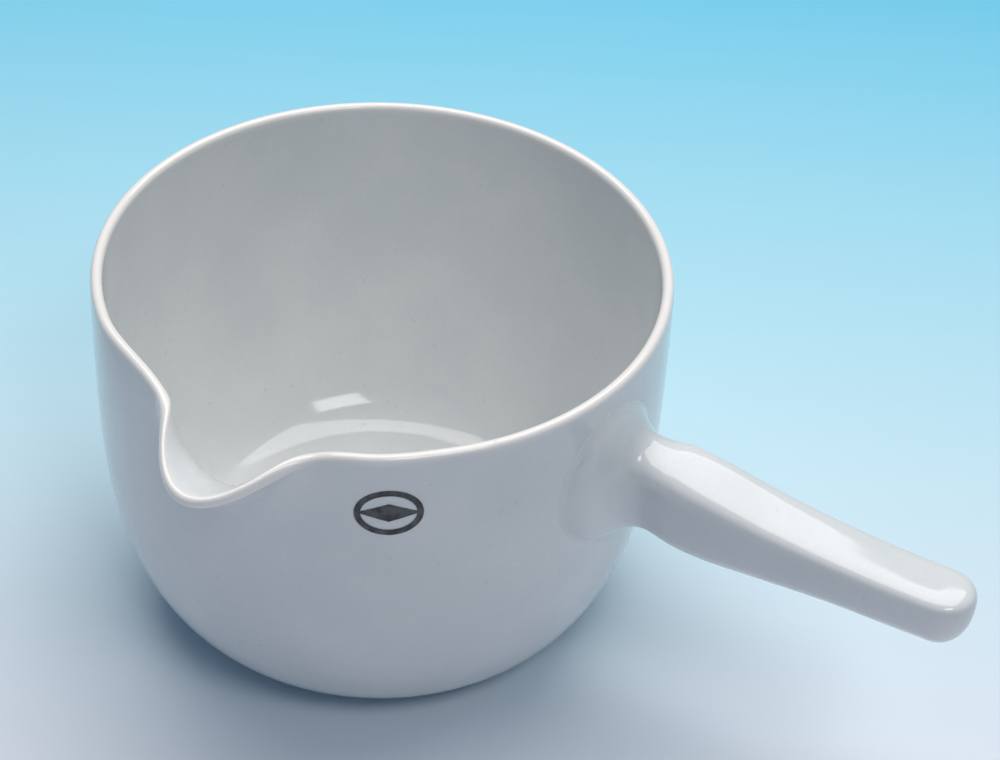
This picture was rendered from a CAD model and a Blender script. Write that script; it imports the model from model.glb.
"""Looks of a porcelain evaporating dish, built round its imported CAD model.

The bowl is spun from one profile, its pouring lip is pulled out of the rim, the handle is grown
along its stations, and a bead of slip closes the joint. All of it is glazed but the flat base.
"""

from bisect import bisect_right
from math import atan2, cos, hypot, pi, radians, sin

import bmesh
import bpy
from bpy.props import FloatProperty, FloatVectorProperty, IntProperty, PointerProperty
from mathutils import Matrix, Vector


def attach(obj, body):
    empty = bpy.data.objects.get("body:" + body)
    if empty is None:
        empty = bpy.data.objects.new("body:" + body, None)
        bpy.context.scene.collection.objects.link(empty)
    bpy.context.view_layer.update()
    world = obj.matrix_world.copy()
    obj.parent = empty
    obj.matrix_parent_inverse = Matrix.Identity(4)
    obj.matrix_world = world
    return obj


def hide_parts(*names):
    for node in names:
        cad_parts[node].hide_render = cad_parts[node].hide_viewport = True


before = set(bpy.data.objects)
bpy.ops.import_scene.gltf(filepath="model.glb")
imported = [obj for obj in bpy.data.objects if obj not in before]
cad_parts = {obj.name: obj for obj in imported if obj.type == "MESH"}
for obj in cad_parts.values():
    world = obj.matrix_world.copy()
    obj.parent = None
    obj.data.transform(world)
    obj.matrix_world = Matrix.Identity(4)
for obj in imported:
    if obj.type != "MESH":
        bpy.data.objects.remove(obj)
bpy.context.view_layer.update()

bl_info = {
    "name": "Evaporating dish",
    "version": (1, 0, 0),
    "blender": (4, 5, 0),
    "location": "View3D > Sidebar > Dish",
    "description": "Builds a glazed porcelain evaporating dish with a pouring lip and a handle",
    "category": "Object",
}

BODY = "root"


# ---------------------------------------------------------------- sizes and colours
def length(name, description, default):
    """A length that the user can change, in metres."""
    return FloatProperty(name=name, description=description, default=default, unit="LENGTH", precision=5)


def turn(name, description, default):
    """An angle that the user can change, given in degrees and kept in radians."""
    return FloatProperty(name=name, description=description, default=radians(default), unit="ROTATION")


def number(name, description, default):
    """A plain number that the user can change."""
    return FloatProperty(name=name, description=description, default=default, precision=3)


def colour(name, description, default):
    """A linear colour that the user can change."""
    return FloatVectorProperty(name=name, description=description, default=default, subtype="COLOR",
                               size=3, min=0.0, max=1.0)


class BowlSizes(bpy.types.PropertyGroup):
    """Sizes of the bowl's wall, floor and rim."""

    rim_radius: length("Rim radius", "Outside of the rim", 0.0625)
    height: length("Height", "Base to the top of the rim", 0.088)
    wall: length("Wall", "Thickness of the wall and the rim", 0.0026)
    floor: length("Floor", "Thickness of the floor", 0.004)
    belly_height: length("Belly height", "Height where the wall stands upright", 0.064)
    belly_radius: length("Belly radius", "Outside of the wall at that height", 0.0628)
    foot_radius: length("Foot radius", "Flat base under the bowl", 0.036)
    floor_radius: length("Floor radius", "Flat floor inside the bowl", 0.031)
    outside_power: number("Outside power", "Fullness of the outside curve", 2.6)
    inside_power: number("Inside power", "Fullness of the inside curve", 2.5)
    spin_steps: IntProperty(name="Spin steps", description="Steps of the profile round the axis",
                            default=180)


class LipSizes(bpy.types.PropertyGroup):
    """Sizes of the pouring lip and of the hand work beside it."""

    bearing: turn("Bearing", "Direction of the lip from the bowl's axis", -85.5)
    reach: length("Reach", "How far the lip is pulled outside the rim", 0.015)
    drop: length("Drop", "How far the lip's edge dips", 0.0075)
    half_angle: turn("Half angle", "The pull fades out here", 18.5)
    dip_half_angle: turn("Dip half angle", "The dip fades out here", 24.0)
    curl: turn("Curl", "How far the lip's edge is turned over", 76.0)
    left_shoulder: length("Left shoulder", "Rim moved out on the left of the lip", -0.0013)
    right_shoulder: length("Right shoulder", "Rim moved out on the right of the lip", 0.0010)
    shoulder_angle: turn("Shoulder angle", "Middle of each shoulder", 27.0)
    shoulder_half_angle: turn("Shoulder half angle", "Each shoulder fades out here", 15.0)


class HandleSizes(bpy.types.PropertyGroup):
    """Sizes of the handle, its root and the slip round it."""

    reach: length("Reach", "Bowl's axis to the tip", 0.142)
    root_height: length("Root height", "Centre of the root above the base", 0.062)
    root_radius: length("Root radius", "Trumpet root at the wall", 0.017)
    neck_length: length("Neck length", "Wall to the narrowest place", 0.0077)
    tip_radius: length("Tip radius", "Rounding of the tip seen from above", 0.007)
    bead_width: length("Bead width", "Slip that stands out round the root", 0.0009)
    bead_rise: length("Bead rise", "Slip that climbs the root", 0.0011)


class GlazeLook(bpy.types.PropertyGroup):
    """Colours of the glazed porcelain and of the fired mark."""

    body: colour("Body", "Porcelain seen through its glaze", (0.79, 0.80, 0.79))
    pooled: colour("Pooled", "Where the glaze lies thick", (0.74, 0.76, 0.755))
    thin: colour("Thin", "Where the glaze draws thin on the rim", (0.93, 0.89, 0.84))
    speck: colour("Speck", "Specks fired into the glaze", (0.42, 0.46, 0.47))
    bare: colour("Bare", "Unglazed base", (0.76, 0.71, 0.64))
    mark: colour("Mark", "Fired-on colour", (0.008, 0.009, 0.012))


class StageLook(bpy.types.PropertyGroup):
    """Camera, lights and floor."""

    aim: FloatVectorProperty(name="Aim", description="Point that the camera looks at",
                             default=(0.0228, 0.0131, 0.0569), subtype="TRANSLATION", precision=4)
    distance: length("Distance", "Camera to that point", 0.5351)
    azimuth: turn("Azimuth", "Camera's bearing round the dish", 30.0)
    pitch: turn("Pitch", "How far the camera looks down", 40.16)
    roll: turn("Roll", "How far the camera leans", 3.37)
    lens: number("Lens", "Focal length in millimetres", 86.4)
    floor_near: colour("Floor near", "Floor in front of the dish", (0.88, 0.83, 0.89))
    floor_middle: colour("Floor middle", "Floor beside the dish", (0.50, 0.82, 0.89))
    floor_far: colour("Floor far", "Floor behind the dish", (0.055, 0.54, 0.80))
    sky: colour("Sky", "Light of the room round the dish", (0.42, 0.66, 1.0))


# ---------------------------------------------------------------- small tools
def new_piece(name, builder, levels, node, material):
    """Makes a smooth piece that stands for a CAD node, with its faces outwards."""
    for layer in list(builder.verts.layers.int.values()):
        builder.verts.layers.int.remove(layer)
    bmesh.ops.remove_doubles(builder, verts=builder.verts[:], dist=1e-6)
    bmesh.ops.recalc_face_normals(builder, faces=builder.faces[:])
    for face in builder.faces:
        face.smooth = True
    mesh = bpy.data.meshes.new(name)
    builder.to_mesh(mesh)
    builder.free()
    mesh.materials.append(material)
    piece = bpy.data.objects.new(name, mesh)
    bpy.context.scene.collection.objects.link(piece)
    smoothing = piece.modifiers.new("Smoothing", "SUBSURF")
    smoothing.levels = levels
    smoothing.render_levels = levels
    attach(piece, BODY)
    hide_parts(node)
    return piece


def superellipse_row(centre, across, up, power, count):
    """Evenly spaced points along a superellipse quarter, from its side to its end."""
    fine_steps = 400
    fine = []
    for i in range(fine_steps + 1):
        angle = pi / 2 * i / fine_steps
        fine.append((across * abs(cos(angle)) ** (2 / power), up * abs(sin(angle)) ** (2 / power)))
    travelled = [0.0]
    for here, there in zip(fine, fine[1:]):
        travelled.append(travelled[-1] + hypot(there[0] - here[0], there[1] - here[1]))
    row = []
    for i in range(count):
        target = travelled[-1] * i / (count - 1)
        place = min(bisect_right(travelled, target), fine_steps) - 1
        share = (target - travelled[place]) / (travelled[place + 1] - travelled[place])
        here, there = fine[place], fine[place + 1]
        row.append((centre[0] + here[0] + share * (there[0] - here[0]),
                    centre[1] + here[1] + share * (there[1] - here[1])))
    return row


# ---------------------------------------------------------------- bowl
def bump(angle, middle, half_angle):
    """A smooth hill: 1 at its middle and 0 beyond its half angle."""
    offset = (angle - middle) / half_angle
    return cos(pi / 2 * offset) ** 2 if abs(offset) < 1 else 0.0


def lip_pull(lip, angle):
    """How far the rim is moved out, at an angle from the lip's middle."""
    pull = lip.reach * bump(angle, 0, lip.half_angle)
    pull += lip.left_shoulder * bump(angle, -lip.shoulder_angle, lip.shoulder_half_angle)
    return pull + lip.right_shoulder * bump(angle, lip.shoulder_angle, lip.shoulder_half_angle)


def outside_point(bowl, lip, angle, curl):
    """Radius and height of the outside above the belly; curl runs from 0 to the lip's curl."""
    swell = bowl.belly_radius - bowl.rim_radius
    edge = bowl.height - bowl.wall / 2 - lip.drop * bump(angle, 0, lip.dip_half_angle)
    rise = sin(curl) / sin(lip.curl)
    spread = (1 - cos(curl)) / (1 - cos(lip.curl))
    radius = bowl.belly_radius + (lip_pull(lip, angle) - swell) * spread
    return radius, bowl.belly_height + (edge - bowl.belly_height) * rise


def wall_point(bowl, lip, angle, curl, depth, over):
    """A point in the upper wall: depth runs 0 to 1 from outside to inside, over is past the edge."""
    step = 1e-4
    radius, height = outside_point(bowl, lip, angle, curl)
    later = outside_point(bowl, lip, angle, curl + step)
    before = outside_point(bowl, lip, angle, curl - step)
    out, up = later[0] - before[0], later[1] - before[1]
    size = hypot(out, up)
    out, up = out / size, up / size
    right = outside_point(bowl, lip, angle + step, curl)
    left = outside_point(bowl, lip, angle - step, curl)
    # A wall that slants across the section is wider than it is thick.
    lean = (up * (right[0] - left[0]) - out * (right[1] - left[1])) / (radius * 2 * step)
    width = bowl.wall * hypot(1, lean) * depth
    return radius - width * up + over * out, height + width * out + over * up


CURVE_POINTS = 24  # rows of the profile along each lower curve
WALL_STEPS = 10  # rows of the profile up each side of the upper wall
RIM_STEPS = 10  # rows over the rounded rim
EDGE_FADE = 0.35  # thin glaze on the row just under the rim
FLOOR_SHARES = (0.0, 0.25, 0.5, 0.75, 0.94)  # rows across the flat base and the flat floor


def bowl_profile(bowl):
    """Rows of the profile from under the axis to inside, each with its glaze and its bare share.

    A row of the lower bowl gives its radius and height. A row of the upper wall gives its share of
    the curl, its depth in the wall and how far it is over the edge.
    """
    rows = [("plain", (bowl.foot_radius * share, 0.0), 0.0, 1.0) for share in FLOOR_SHARES]
    curve = superellipse_row((bowl.foot_radius, bowl.belly_height), bowl.belly_radius - bowl.foot_radius,
                             -bowl.belly_height, bowl.outside_power, CURVE_POINTS)
    rows += [("plain", point, 0.0, 0.0) for point in reversed(curve[1:])]
    shares = [i / WALL_STEPS for i in range(WALL_STEPS + 1)]
    thin = [EDGE_FADE if share == 1 else 0.0 for share in shares]
    rows += [("wall", (share, 0.0, 0.0), glaze, 0.0) for share, glaze in zip(shares, thin)]
    for i in range(1, RIM_STEPS):
        around = pi * i / RIM_STEPS
        rows.append(("wall", (1.0, (1 - cos(around)) / 2, bowl.wall / 2 * sin(around)), 1.0, 0.0))
    rows += [("wall", (share, 1.0, 0.0), glaze, 0.0) for share, glaze in zip(shares[::-1], thin[::-1])]
    curve = superellipse_row((bowl.floor_radius, bowl.belly_height),
                             bowl.belly_radius - bowl.wall - bowl.floor_radius,
                             bowl.floor - bowl.belly_height, bowl.inside_power, CURVE_POINTS)
    rows += [("plain", point, 0.0, 0.0) for point in curve[1:]]
    rows += [("plain", (bowl.floor_radius * share, bowl.floor), 0.0, 0.0) for share in FLOOR_SHARES[::-1]]
    return rows


class DISH_OT_bowl(bpy.types.Operator):
    """Spin the bowl from its profile and pull the pouring lip out of its upper wall"""

    bl_idname = "dish.bowl"
    bl_label = "Bowl"

    def execute(self, context):
        bowl, lip = context.scene.dish_bowl, context.scene.dish_lip
        rows = bowl_profile(bowl)
        builder = bmesh.new()
        row_number = builder.verts.layers.int.new("row_number")
        thin_glaze = builder.verts.layers.float.new("thin_glaze")
        bare = builder.verts.layers.float.new("bare")
        previous = None
        for index, (kind, values, thin_share, bare_share) in enumerate(rows):
            radius, height = values if kind == "plain" else wall_point(bowl, lip, pi, values[0] * lip.curl,
                                                                       values[1], values[2])
            vertex = builder.verts.new((radius, 0, height))
            vertex[row_number] = index
            vertex[thin_glaze] = thin_share
            vertex[bare] = bare_share
            if previous is not None:
                builder.edges.new((previous, vertex))
            previous = vertex
        bmesh.ops.spin(builder, geom=builder.verts[:] + builder.edges[:], cent=(0, 0, 0), axis=(0, 0, 1),
                       angle=2 * pi, steps=bowl.spin_steps, use_merge=True, use_duplicate=False)
        for vertex in builder.verts:
            kind, values, _, _ = rows[vertex[row_number]]
            if kind == "wall":
                bearing = atan2(vertex.co.y, vertex.co.x)
                angle = (bearing - lip.bearing + pi) % (2 * pi) - pi
                radius, height = wall_point(bowl, lip, angle, values[0] * lip.curl, values[1], values[2])
                vertex.co = (radius * cos(bearing), radius * sin(bearing), height)
        new_piece("porcelain_bowl", builder, 1, "bowl", porcelain(context))
        return {"FINISHED"}


# ---------------------------------------------------------------- handle
QUARTER = 11  # points along each quarter of the handle's section
TIP_STEPS = 14  # steps of the half turn round the tip


def handle_stations(context):
    """Stations of the handle, from inside the wall to the middle of its tip, in metres.

    Each is its distance from the wall, its half width, its top above and its bottom below the
    root's centre, its widest line above that centre, the powers of its upper and lower halves,
    how far it is rolled, in degrees, and how far it stands aside. The root was pressed on by
    hand, so it is rolled and stands a little aside, and the grip straightens towards the tip.
    """
    bowl, handle = context.scene.dish_bowl, context.scene.dish_handle
    neck = handle.neck_length
    grip = handle.reach - handle.tip_radius - bowl.belly_radius - neck
    root, tip = handle.root_radius, handle.tip_radius
    return [
        (-1.5 * bowl.wall, root - 0.0014, root + 0.0045, root + 0.0008, 0.0010, 2.0, 2.0, 15, -0.0054),
        (0.0, root - 0.0034, root + 0.0028, root - 0.0010, 0.0010, 2.0, 2.0, 15, -0.0046),
        (0.0022, 0.0106, 0.0138, 0.0148, 0.0008, 2.0, 2.0, 13, -0.0028),
        (0.0046, 0.0083, 0.0109, 0.0142, 0.0008, 2.2, 2.1, 10, -0.0015),
        (neck, 0.0071, 0.0099, 0.0143, 0.0018, 2.8, 2.2, 8, -0.0010),
        (neck + 0.08 * grip, 0.0075, 0.0100, 0.0153, 0.0030, 3.4, 2.3, 8, -0.0011),
        (neck + 0.20 * grip, 0.0076, 0.0087, 0.0151, 0.0030, 4.0, 2.3, 7, -0.0011),
        (neck + 0.40 * grip, 0.0074, 0.0062, 0.0128, 0.0016, 4.0, 2.3, 4, -0.0006),
        (neck + 0.65 * grip, 0.0072, 0.0048, 0.0102, 0.0008, 4.0, 2.3, 1, -0.0001),
        (neck + 0.85 * grip, 0.0071, 0.0048, 0.0091, 0.0010, 4.0, 2.3, 0, 0.0),
        (neck + grip, tip, 0.0054, 0.0083, 0.0016, 4.0, 2.3, 0, 0.0),
    ]


def eased_station(stations, distance):
    """The station at a distance from the wall, on a smooth curve through the given ones."""
    last = len(stations) - 2
    i = min(max(bisect_right([station[0] for station in stations], distance) - 1, 0), last)
    here, there = stations[i], stations[i + 1]
    before = stations[i - 1] if i > 0 else here
    after = stations[i + 2] if i < last else there
    gap = there[0] - here[0]
    share = (distance - here[0]) / gap
    values = [distance]
    for column in range(1, len(here)):
        start_slope = (there[column] - before[column]) / (there[0] - before[0]) * gap
        end_slope = (after[column] - here[column]) / (after[0] - here[0]) * gap
        values.append(here[column] + (there[column] - here[column]) * share * share * (3 - 2 * share)
                      + start_slope * share * (1 - share) ** 2
                      - end_slope * share * share * (1 - share))
    return values


def section_ring(context, station):
    """Points round the handle's section at a station, from its right side over its top."""
    distance, half_width, top, bottom, widest, upper_power, lower_power, roll, aside = station
    x = context.scene.dish_bowl.belly_radius + distance
    centre = context.scene.dish_handle.root_height
    upper = superellipse_row((0, 0), half_width, top - widest, upper_power, QUARTER)
    lower = superellipse_row((0, 0), half_width, bottom + widest, lower_power, QUARTER)
    ring = [(y, z) for y, z in upper]
    ring += [(-y, z) for y, z in reversed(upper[:-1])]
    ring += [(-y, -z) for y, z in lower[1:]]
    ring += [(y, -z) for y, z in reversed(lower[1:-1])]
    along, rise = cos(radians(roll)), sin(radians(roll))
    return [Vector((x, aside + y * along - (widest + z) * rise, centre + (widest + z) * along + y * rise))
            for y, z in ring]


def wall_distance(bowl, y, z):
    """How far the outside of the bowl stands along +X from the axis, beside the handle."""
    radius = bowl.belly_radius
    if z < bowl.belly_height:
        fall = (bowl.belly_height - z) / bowl.belly_height
        full = (1 - fall ** bowl.outside_power) ** (1 / bowl.outside_power)
        radius = bowl.foot_radius + (bowl.belly_radius - bowl.foot_radius) * full
    return (radius ** 2 - y ** 2) ** 0.5


def handle_point(context, stations, index, distance):
    """A point of the handle's surface, by its place round the section and its distance out."""
    return section_ring(context, eased_station(stations, distance))[index]


def root_line(context, stations):
    """Where the handle's surface meets the bowl's, as a distance for each place round it."""
    bowl = context.scene.dish_bowl
    line = []
    for index in range(4 * (QUARTER - 1)):
        distance = 0.0
        for _ in range(5):
            point = handle_point(context, stations, index, distance)
            distance = wall_distance(bowl, point.y, point.z) - bowl.belly_radius
        line.append(distance)
    return line


def start_ring(builder, points):
    """A first ring from a circle, with its vertices numbered and laid on the points."""
    order = builder.verts.layers.int.new("ring_order")
    circle = bmesh.ops.create_circle(builder, segments=len(points), radius=1.0)["verts"]
    for index, vertex in enumerate(circle):
        vertex[order] = index
        vertex.co = points[index]
    return builder.edges[:]


def grow_ring(builder, ring, points):
    """Extrudes a ring of edges and lays its new vertices on the points, in order."""
    order = builder.verts.layers.int["ring_order"]
    grown = bmesh.ops.extrude_edge_only(builder, edges=ring)["geom"]
    fresh = {item for item in grown if isinstance(item, bmesh.types.BMVert)}
    for vertex in fresh:
        vertex.co = points[vertex[order]]
    return [item for item in grown if isinstance(item, bmesh.types.BMEdge) and fresh.issuperset(item.verts)]


ROOT_DEPTH = -0.0013  # the handle's mesh starts this far inside the wall
ROOT_RINGS = 16  # rings from there to the neck
GRIP_RINGS = 34  # rings from the neck to the middle of the tip


class DISH_OT_handle(bpy.types.Operator):
    """Grow the handle along its stations and turn its tip round an upright axis"""

    bl_idname = "dish.handle"
    bl_label = "Handle"

    def execute(self, context):
        bowl, handle = context.scene.dish_bowl, context.scene.dish_handle
        stations = handle_stations(context)
        neck = handle.neck_length
        meeting = root_line(context, stations)
        rings = []
        for i in range(ROOT_RINGS):
            # The first rings follow the bowl's round wall, and the later ones are flat.
            travel = ROOT_DEPTH + (neck - ROOT_DEPTH) * i / ROOT_RINGS
            follow = 1 - max(travel, 0.0) / neck
            rings.append([handle_point(context, stations, index, travel + distance * follow)
                          for index, distance in enumerate(meeting)])
        end = stations[-1][0]
        for i in range(GRIP_RINGS + 1):
            distance = neck + (end - neck) * i / GRIP_RINGS
            rings.append(section_ring(context, eased_station(stations, distance)))
        builder = bmesh.new()
        ring = start_ring(builder, rings[0])
        bmesh.ops.contextual_create(builder, geom=ring)
        for points in rings[1:]:
            ring = grow_ring(builder, ring, points)
        nearly_zero = 1e-6
        half = [edge for edge in ring if all(vertex.co.y > -nearly_zero for vertex in edge.verts)]
        ends = list({vertex for edge in half for vertex in edge.verts})
        bmesh.ops.spin(builder, geom=ends + half, cent=(bowl.belly_radius + end, 0, 0), axis=(0, 0, -1),
                       angle=pi, steps=TIP_STEPS, use_merge=False, use_duplicate=False)
        new_piece("porcelain_handle", builder, 1, "handle", porcelain(context))
        return {"FINISHED"}


class DISH_OT_joint(bpy.types.Operator):
    """Lay the bead of slip where the handle's root meets the wall"""

    bl_idname = "dish.joint"
    bl_label = "Slip joint"

    def execute(self, context):
        bowl, handle = context.scene.dish_bowl, context.scene.dish_handle
        stations = handle_stations(context)
        meeting = root_line(context, stations)
        aside = eased_station(stations, 0.0)[-1]
        centre = Vector((0, aside, handle.root_height))
        width, rise = handle.bead_width, handle.bead_rise

        def beside(spread, lift):
            """Points on the wall round the root, spread out from it and lifted off the wall."""
            points = []
            for index, distance in enumerate(meeting):
                point = handle_point(context, stations, index, distance)
                away = Vector((0, point.y, point.z)) - centre
                point = centre + away.normalized() * (away.length + spread)
                point.x = wall_distance(bowl, point.y, point.z) + lift
                points.append(point)
            return points

        def along_root(travel, swell):
            """Points up the handle's root, swollen out from its surface."""
            points = []
            for index, distance in enumerate(meeting):
                point = handle_point(context, stations, index, distance + travel)
                away = Vector((0, point.y, point.z)) - centre
                points.append(point + away.normalized() * swell)
            return points

        rings = [
            beside(-width, -width),
            beside(width, -width * 0.5),
            beside(width * 0.95, width * 0.04),
            beside(width * 0.55, width * 0.12),
            along_root(rise * 0.22, width * 0.26),
            along_root(rise * 0.60, width * 0.10),
            along_root(rise, -width * 0.10),
            along_root(rise * 0.8, -width),
        ]
        builder = bmesh.new()
        first = ring = start_ring(builder, rings[0])
        for points in rings[1:]:
            ring = grow_ring(builder, ring, points)
        bmesh.ops.bridge_loops(builder, edges=first + ring)
        new_piece("slip_bead", builder, 2, "handle_joint", slip(context))
        return {"FINISHED"}


# ---------------------------------------------------------------- glazes
def add_node(tree, kind, **settings):
    """Adds a node and sets its named properties."""
    node = tree.nodes.new(kind)
    for name, value in settings.items():
        setattr(node, name, value)
    return node


MOTTLE_RANGE = (0.32, 0.68)  # parts of each noise that are stretched from 0 to 1
GRAIN_RANGE = (0.3, 0.7)
SPECK_RANGE = (0.735, 0.80)
GRAIN_SHADE = 0.05  # how far the grain darkens the glaze
SPECK_SHADE = 0.22  # how far a speck does
RING_HEIGHT = 0.12  # the potter's rings beside the glaze's own waves
DULLEST = 1.6  # roughness of the dullest mottle, beside the glossiest
BARE_ROUGHNESS = 0.75
GLAZE_IOR = 1.52


def glaze_group():
    """Variation of a fired glaze: soft mottle, fine grain, rare specks, and its uneven surface."""
    name = "glaze_variation"
    if name in bpy.data.node_groups:
        return bpy.data.node_groups[name]
    tree = bpy.data.node_groups.new(name, "ShaderNodeTree")
    sockets = tree.interface
    for label, default in (("Mottle Scale", 40.0), ("Grain Scale", 1100.0), ("Speck Scale", 620.0),
                           ("Ring Scale", 260.0)):
        sockets.new_socket(label, in_out="INPUT", socket_type="NodeSocketFloat").default_value = default
    for label in ("Mottle", "Grain", "Speck", "Surface", "Rings"):
        sockets.new_socket(label, in_out="OUTPUT", socket_type="NodeSocketFloat")
    inputs = add_node(tree, "NodeGroupInput")
    outputs = add_node(tree, "NodeGroupOutput")
    place = add_node(tree, "ShaderNodeTexCoord")
    join = tree.links.new

    def noise(scale_name, detail, roughness):
        node = add_node(tree, "ShaderNodeTexNoise")
        node.inputs["Detail"].default_value = detail
        node.inputs["Roughness"].default_value = roughness
        join(inputs.outputs[scale_name], node.inputs["Scale"])
        join(place.outputs["Object"], node.inputs["Vector"])
        return node

    def ranged(source, low, high):
        node = add_node(tree, "ShaderNodeMapRange", interpolation_type="SMOOTHSTEP")
        node.inputs["From Min"].default_value = low
        node.inputs["From Max"].default_value = high
        join(source, node.inputs["Value"])
        return node.outputs["Result"]

    mottle = noise("Mottle Scale", 3.0, 0.55)
    join(ranged(mottle.outputs["Fac"], *MOTTLE_RANGE), outputs.inputs["Mottle"])
    grain = noise("Grain Scale", 2.0, 0.6)
    join(ranged(grain.outputs["Fac"], *GRAIN_RANGE), outputs.inputs["Grain"])
    speck = noise("Speck Scale", 1.0, 0.4)
    join(ranged(speck.outputs["Fac"], *SPECK_RANGE), outputs.inputs["Speck"])
    join(mottle.outputs["Fac"], outputs.inputs["Surface"])

    # The potter's rings: noise that changes only with height.
    height = add_node(tree, "ShaderNodeSeparateXYZ")
    join(place.outputs["Object"], height.inputs["Vector"])
    rings = add_node(tree, "ShaderNodeTexNoise", noise_dimensions="1D")
    rings.inputs["Detail"].default_value = 1.0
    join(height.outputs["Z"], rings.inputs["W"])
    join(inputs.outputs["Ring Scale"], rings.inputs["Scale"])
    join(rings.outputs["Fac"], outputs.inputs["Rings"])
    return tree


def mixed(tree, kind, factor, first, second):
    """Mixes two colours or two values; each may be a socket or a constant."""
    node = add_node(tree, "ShaderNodeMix", data_type=kind)
    offset = {"FLOAT": 2, "RGBA": 6}[kind]
    for socket, value in ((node.inputs[0], factor), (node.inputs[offset], first),
                          (node.inputs[offset + 1], second)):
        if isinstance(value, bpy.types.NodeSocket):
            tree.links.new(value, socket)
        else:
            socket.default_value = value
    return node.outputs[offset // 2 - 1 if kind == "FLOAT" else 2]


def math(tree, operation, first, second):
    """A math node on two values; each may be a socket or a constant."""
    node = add_node(tree, "ShaderNodeMath", operation=operation)
    for socket, value in zip(node.inputs, (first, second)):
        if isinstance(value, bpy.types.NodeSocket):
            tree.links.new(value, socket)
        else:
            socket.default_value = value
    return node.outputs[0]


def opaque(shade):
    """A colour with its alpha."""
    return (*shade, 1.0)


def glaze_material(name, look, roughness, mottle_scale, surface_depth):
    """A glossy porcelain glaze that thins at its rim and stops short of the bare base."""
    material = bpy.data.materials.new(name)
    material.use_nodes = True
    tree = material.node_tree
    shader = tree.nodes["Principled BSDF"]
    shader.inputs["IOR"].default_value = GLAZE_IOR
    join = tree.links.new
    group = add_node(tree, "ShaderNodeGroup", node_tree=glaze_group())
    group.inputs["Mottle Scale"].default_value = mottle_scale
    thin = add_node(tree, "ShaderNodeAttribute", attribute_name="thin_glaze").outputs["Fac"]
    bare = add_node(tree, "ShaderNodeAttribute", attribute_name="bare").outputs["Fac"]

    shade = mixed(tree, "RGBA", group.outputs["Mottle"], opaque(look.body), opaque(look.pooled))
    grain_depth = math(tree, "MULTIPLY", group.outputs["Grain"], GRAIN_SHADE)
    shade = mixed(tree, "RGBA", grain_depth, shade, opaque(look.speck))
    shade = mixed(tree, "RGBA", thin, shade, opaque(look.thin))
    speck_depth = math(tree, "MULTIPLY", group.outputs["Speck"], SPECK_SHADE)
    shade = mixed(tree, "RGBA", speck_depth, shade, opaque(look.speck))
    shade = mixed(tree, "RGBA", bare, shade, opaque(look.bare))
    join(shade, shader.inputs["Base Color"])

    gloss = mixed(tree, "FLOAT", group.outputs["Mottle"], roughness, roughness * DULLEST)
    gloss = mixed(tree, "FLOAT", bare, gloss, BARE_ROUGHNESS)
    join(gloss, shader.inputs["Roughness"])

    rings = math(tree, "MULTIPLY", group.outputs["Rings"], RING_HEIGHT)
    height = math(tree, "ADD", group.outputs["Surface"], rings)
    grit = math(tree, "MULTIPLY", group.outputs["Grain"], bare)
    height = math(tree, "ADD", height, grit)
    surface = add_node(tree, "ShaderNodeBump")
    surface.inputs["Strength"].default_value = 1.0
    surface.inputs["Distance"].default_value = surface_depth
    join(height, surface.inputs["Height"])
    join(surface.outputs["Normal"], shader.inputs["Normal"])
    return material


def porcelain(context):
    """The glaze of the bowl and the handle, made once."""
    name = "glazed_porcelain_body"
    look = context.scene.dish_glaze
    return bpy.data.materials.get(name) or glaze_material(
        name, look, roughness=0.07, mottle_scale=40.0, surface_depth=0.00008)


def slip(context):
    """The glaze over the bead of slip, a little more uneven."""
    name = "glazed_slip_bead"
    look = context.scene.dish_glaze
    return bpy.data.materials.get(name) or glaze_material(
        name, look, roughness=0.08, mottle_scale=150.0, surface_depth=0.00006)


MARK_MOTTLE_SCALE = 380.0
MARK_GRAIN_SCALE = 2600.0
MARK_WEAR = 0.10  # how much glaze shows through the fired colour
MARK_ROUGHNESS = (0.16, 0.34)
MARK_DEPTH = 0.00004


class DISH_OT_mark(bpy.types.Operator):
    """Give the fired mark its glossy dark colour, worn thin in places"""

    bl_idname = "dish.mark"
    bl_label = "Fired mark"

    def execute(self, context):
        look = context.scene.dish_glaze
        material = bpy.data.materials.new("fired_colour_mark")
        material.use_nodes = True
        tree = material.node_tree
        shader = tree.nodes["Principled BSDF"]
        group = add_node(tree, "ShaderNodeGroup", node_tree=glaze_group())
        group.inputs["Mottle Scale"].default_value = MARK_MOTTLE_SCALE
        group.inputs["Grain Scale"].default_value = MARK_GRAIN_SCALE
        worn = math(tree, "MULTIPLY", group.outputs["Mottle"], MARK_WEAR)
        shade = mixed(tree, "RGBA", worn, opaque(look.mark), opaque(look.pooled))
        tree.links.new(shade, shader.inputs["Base Color"])
        gloss = mixed(tree, "FLOAT", group.outputs["Grain"], *MARK_ROUGHNESS)
        tree.links.new(gloss, shader.inputs["Roughness"])
        surface = add_node(tree, "ShaderNodeBump")
        surface.inputs["Distance"].default_value = MARK_DEPTH
        tree.links.new(group.outputs["Grain"], surface.inputs["Height"])
        tree.links.new(surface.outputs["Normal"], shader.inputs["Normal"])
        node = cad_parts["fired_mark"]
        if not node.material_slots:
            node.data.materials.append(material)
        for place in node.material_slots:
            place.material = material
        return {"FINISHED"}


# ---------------------------------------------------------------- stage
def add_light(name, place, target, width, depth, power, shade):
    """A rectangular softbox that faces a point."""
    light = bpy.data.lights.new(name, "AREA")
    light.shape = "RECTANGLE"
    light.size = width
    light.size_y = depth
    light.energy = power
    light.color = shade
    box = bpy.data.objects.new(name, light)
    box.location = place
    box.rotation_euler = (Vector(target) - Vector(place)).to_track_quat("-Z", "Y").to_euler()
    bpy.context.scene.collection.objects.link(box)


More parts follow.
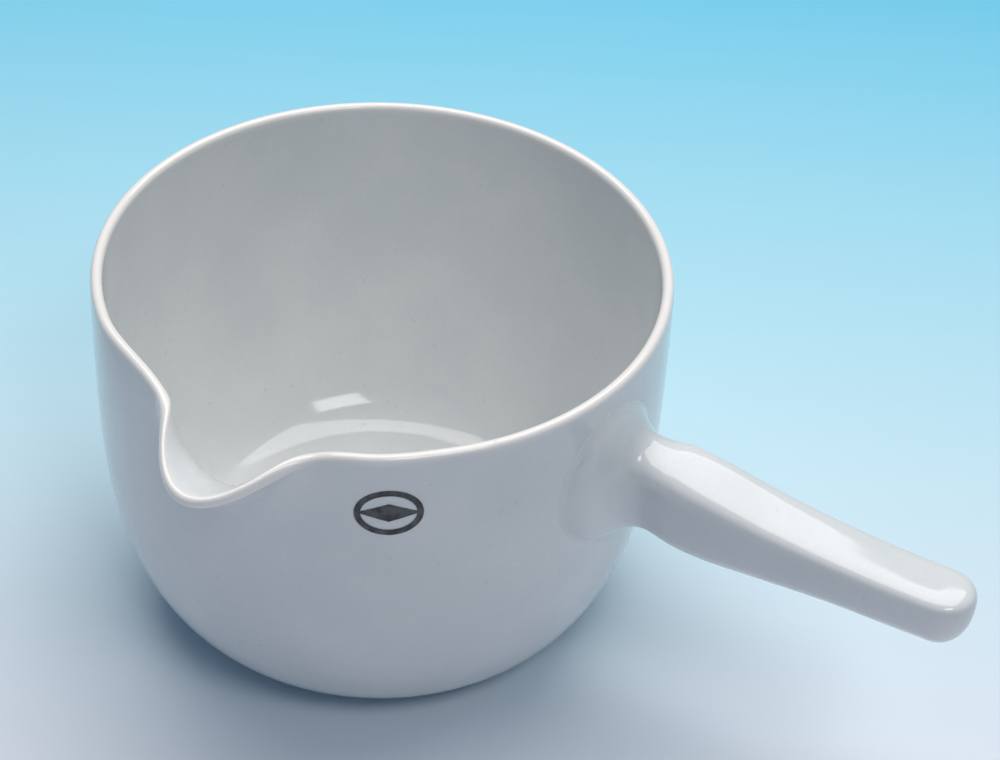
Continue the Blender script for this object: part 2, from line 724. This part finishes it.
def add_camera(stage):
    """The camera, aimed by its bearing, its pitch and its roll."""
    back = Vector((sin(stage.azimuth) * cos(stage.pitch), -cos(stage.azimuth) * cos(stage.pitch),
                   sin(stage.pitch)))
    level = Vector((cos(stage.azimuth), sin(stage.azimuth), 0))
    upright = back.cross(level)
    right = level * cos(stage.roll) + upright * sin(stage.roll)
    up = upright * cos(stage.roll) - level * sin(stage.roll)
    lens = bpy.data.cameras.new("camera")
    lens.lens = stage.lens
    lens.sensor_width = 36.0
    lens.clip_start = 0.01
    camera = bpy.data.objects.new("camera", lens)
    axes = Matrix((right, up, back)).transposed().to_4x4()
    camera.matrix_world = Matrix.Translation(Vector(stage.aim) + back * stage.distance) @ axes
    bpy.context.scene.collection.objects.link(camera)
    bpy.context.scene.camera = camera


FLOOR_FADE = (-0.10, 0.32)  # the floor's colour turns between these distances behind the axis
FLOOR_MIDDLE = 0.45  # where its middle colour lies between them
FLOOR_HALF_SIZE = 4.0
ROOM_STRENGTH = 0.20
LIGHT_TARGET = (0.0, 0.0, 0.05)


def floor_material(stage):
    """Matt paper, pale in front of the dish and deeper blue behind it."""
    material = bpy.data.materials.new("floor_paper")
    material.use_nodes = True
    tree = material.node_tree
    shader = tree.nodes["Principled BSDF"]
    shader.inputs["Roughness"].default_value = 0.55
    shader.inputs["Specular IOR Level"].default_value = 0.25
    place = add_node(tree, "ShaderNodeTexCoord")
    away = add_node(tree, "ShaderNodeVectorMath", operation="DOT_PRODUCT")
    away.inputs[1].default_value = (-sin(stage.azimuth), cos(stage.azimuth), 0.0)
    tree.links.new(place.outputs["Object"], away.inputs[0])
    share = add_node(tree, "ShaderNodeMapRange")
    share.inputs["From Min"].default_value = FLOOR_FADE[0]
    share.inputs["From Max"].default_value = FLOOR_FADE[1]
    tree.links.new(away.outputs["Value"], share.inputs["Value"])
    fade = add_node(tree, "ShaderNodeValToRGB")
    fade.color_ramp.interpolation = "B_SPLINE"
    fade.color_ramp.elements[0].color = opaque(stage.floor_near)
    fade.color_ramp.elements[1].color = opaque(stage.floor_far)
    fade.color_ramp.elements.new(FLOOR_MIDDLE).color = opaque(stage.floor_middle)
    tree.links.new(share.outputs["Result"], fade.inputs["Fac"])
    tree.links.new(fade.outputs["Color"], shader.inputs["Base Color"])
    return material


class DISH_OT_stage(bpy.types.Operator):
    """Set the floor, the soft studio light and the camera"""

    bl_idname = "dish.stage"
    bl_label = "Stage"

    def execute(self, context):
        stage = context.scene.dish_stage
        builder = bmesh.new()
        bmesh.ops.create_grid(builder, x_segments=8, y_segments=8, size=FLOOR_HALF_SIZE)
        mesh = bpy.data.meshes.new("floor")
        builder.to_mesh(mesh)
        builder.free()
        mesh.materials.append(floor_material(stage))
        floor = bpy.data.objects.new("floor", mesh)
        context.scene.collection.objects.link(floor)
        world = bpy.data.worlds.new("room")
        world.use_nodes = True
        background = world.node_tree.nodes["Background"]
        background.inputs["Color"].default_value = opaque(stage.sky)
        background.inputs["Strength"].default_value = ROOM_STRENGTH
        context.scene.world = world
        context.scene.view_settings.view_transform = "Standard"
        add_light("overhead_softbox", (-0.14, 0.30, 0.95), LIGHT_TARGET, width=1.10, depth=0.80, power=9.8,
                  shade=(1.0, 0.965, 0.93))
        add_light("side_window", (0.60, -0.30, 1.00), LIGHT_TARGET, width=0.42, depth=0.30, power=2.4,
                  shade=(1.0, 0.98, 0.95))
        add_camera(stage)
        return {"FINISHED"}


# ---------------------------------------------------------------- panel and registration
SIZE_GROUPS = {
    "dish_bowl": BowlSizes,
    "dish_lip": LipSizes,
    "dish_handle": HandleSizes,
    "dish_glaze": GlazeLook,
    "dish_stage": StageLook,
}
OPERATORS = (DISH_OT_bowl, DISH_OT_handle, DISH_OT_joint, DISH_OT_mark, DISH_OT_stage)


class DISH_PT_panel(bpy.types.Panel):
    """Lists the dish's sizes and its makers in the 3D view's sidebar"""

    bl_idname = "DISH_PT_panel"
    bl_label = "Evaporating dish"
    bl_space_type = "VIEW_3D"
    bl_region_type = "UI"
    bl_category = "Dish"

    def draw(self, context):
        column = self.layout.column()
        for name, group in SIZE_GROUPS.items():
            settings = getattr(context.scene, name)
            column.separator()
            for field in group.__annotations__:
                column.prop(settings, field)
        column.separator()
        for operator in OPERATORS:
            column.operator(operator.bl_idname)


def register():
    """Registers the classes and hangs the sizes on the scene."""
    for group in (*SIZE_GROUPS.values(), *OPERATORS, DISH_PT_panel):
        bpy.utils.register_class(group)
    for name, group in SIZE_GROUPS.items():
        setattr(bpy.types.Scene, name, PointerProperty(type=group))


def unregister():
    """Takes the sizes and the classes away again."""
    for name in SIZE_GROUPS:
        delattr(bpy.types.Scene, name)
    for group in reversed((*SIZE_GROUPS.values(), *OPERATORS, DISH_PT_panel)):
        bpy.utils.unregister_class(group)


def main():
    register()
    bpy.ops.dish.bowl()
    bpy.ops.dish.handle()
    bpy.ops.dish.joint()
    bpy.ops.dish.mark()
    bpy.ops.dish.stage()


if __name__ == "__main__":
    main()
